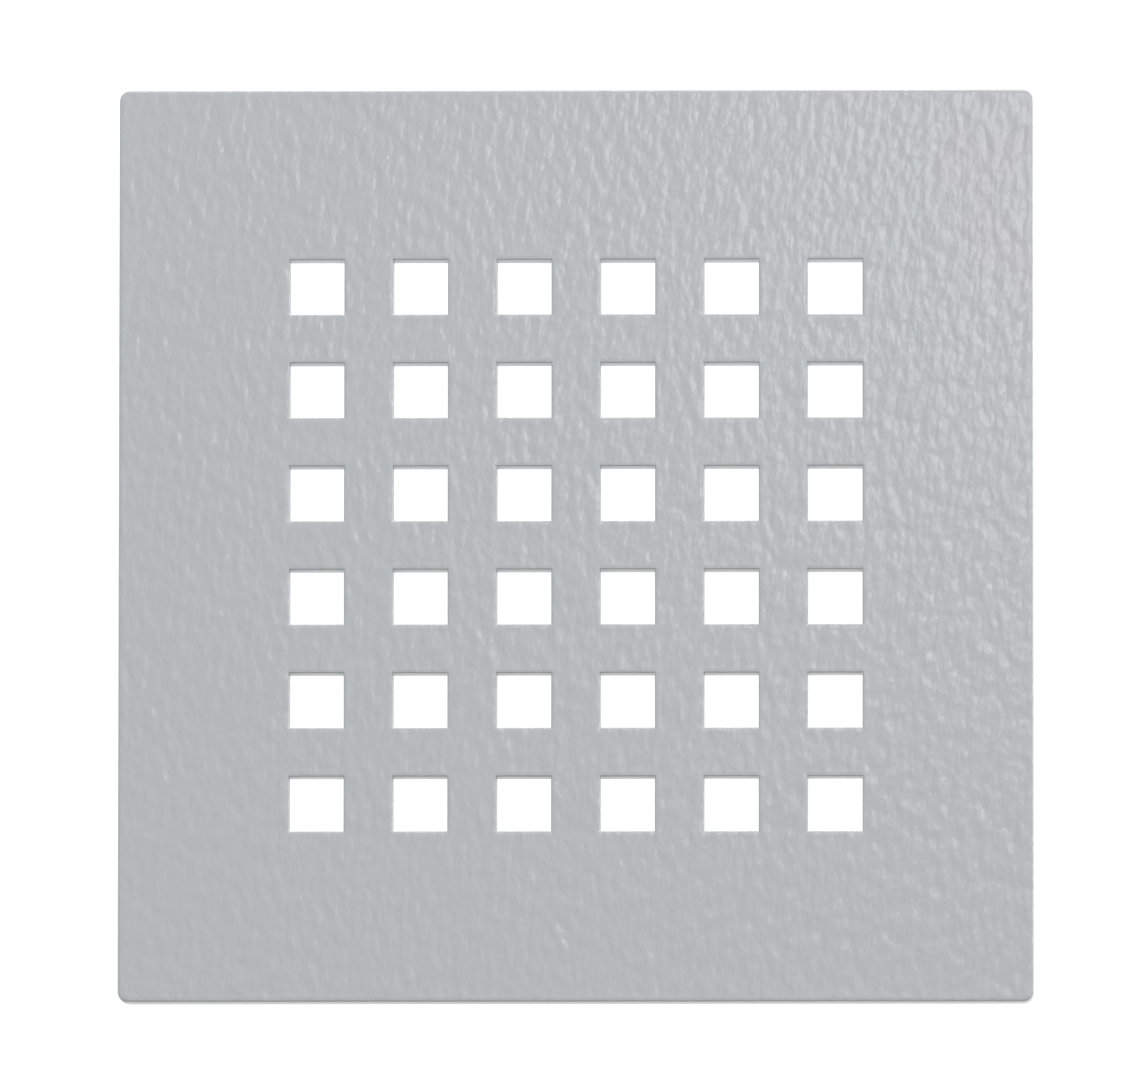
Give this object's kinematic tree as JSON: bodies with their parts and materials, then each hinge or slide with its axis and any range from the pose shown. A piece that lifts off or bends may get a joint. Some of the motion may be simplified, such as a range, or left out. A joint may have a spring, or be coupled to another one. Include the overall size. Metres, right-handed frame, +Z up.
{
  "type": "floor drain grate",
  "caption": "Loose square grate for a floor or shower drain: a lacquered plate with square holes on rubber feet, with folded lugs that keep it centred in the outlet.",
  "frame": {"origin": "under the plate's centre, level with the lower ends of the centring lugs", "axes": "+Z up out of the plate's top face, +X towards the right edge and +Y towards the back edge, both square to the plate's sides"},
  "size_m": [0.1234, 0.1234, 0.0173],
  "materials": {
    "lacquered_steel": "cool light grey lacquer with a fine stone-like relief, satin",
    "stainless_steel": "mill-finish stainless, brushed along the strip",
    "rubber": "matt black moulded rubber"
  },
  "bodies": {
    "root": {"grate_plate": "lacquered_steel", "stud_front_left": "stainless_steel", "stud_front_right": "stainless_steel", "stud_back_right": "stainless_steel", "stud_back_left": "stainless_steel", "foot_front_left": "rubber", "foot_front_right": "rubber", "foot_back_right": "rubber", "foot_back_left": "rubber", "lug_front": "stainless_steel", "lug_right": "stainless_steel", "lug_back": "stainless_steel", "lug_left": "stainless_steel"}
  },
  "joints": []
}
